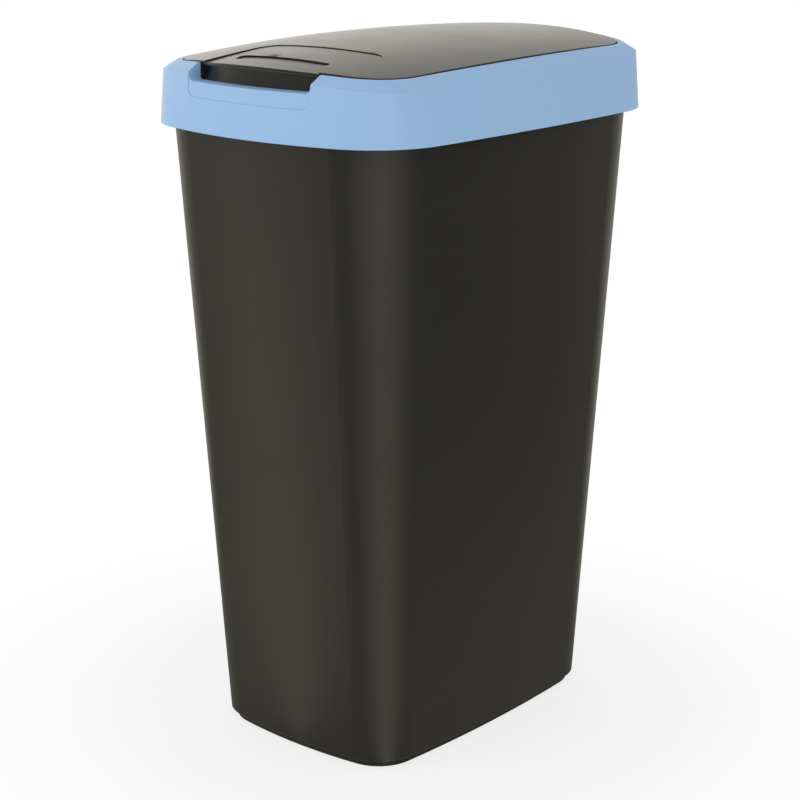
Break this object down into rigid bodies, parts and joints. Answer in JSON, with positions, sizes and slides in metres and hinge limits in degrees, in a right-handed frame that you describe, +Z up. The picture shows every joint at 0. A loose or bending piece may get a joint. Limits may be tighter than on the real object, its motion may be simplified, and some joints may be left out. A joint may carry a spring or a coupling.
{
  "type": "recycling bin",
  "caption": "Tall tapered kitchen recycling bin: a container, a lift-off flared collar that holds the bag, and a hinged crowned lid with a finger notch at the front.",
  "frame": {"origin": "middle of the base, on the floor", "axes": "+Z up, -Y towards the narrow front with the finger notch, +X to the right seen from the front"},
  "size_m": [0.2886, 0.402, 0.6026],
  "materials": {
    "container_plastic": "satin black polypropylene with a fine moulded grain",
    "collar_plastic": "satin pale blue polypropylene",
    "lid_plastic": "semi-gloss black polypropylene"
  },
  "bodies": {
    "container": {"bin_body": "container_plastic"},
    "collar": {"collar": "collar_plastic"},
    "lid": {"lid": "lid_plastic"}
  },
  "joints": [
    {"name": "collar_lift", "type": "slide", "parent": "container", "child": "collar", "axis": [0, 0, 1], "range_m": [0, 0.12]},
    {"name": "lid_hinge", "type": "hinge", "parent": "collar", "child": "lid", "pos_m": [0, 0.127, 0.58609], "axis": [-1, 0, 0], "range_deg": [0, 100]}
  ]
}
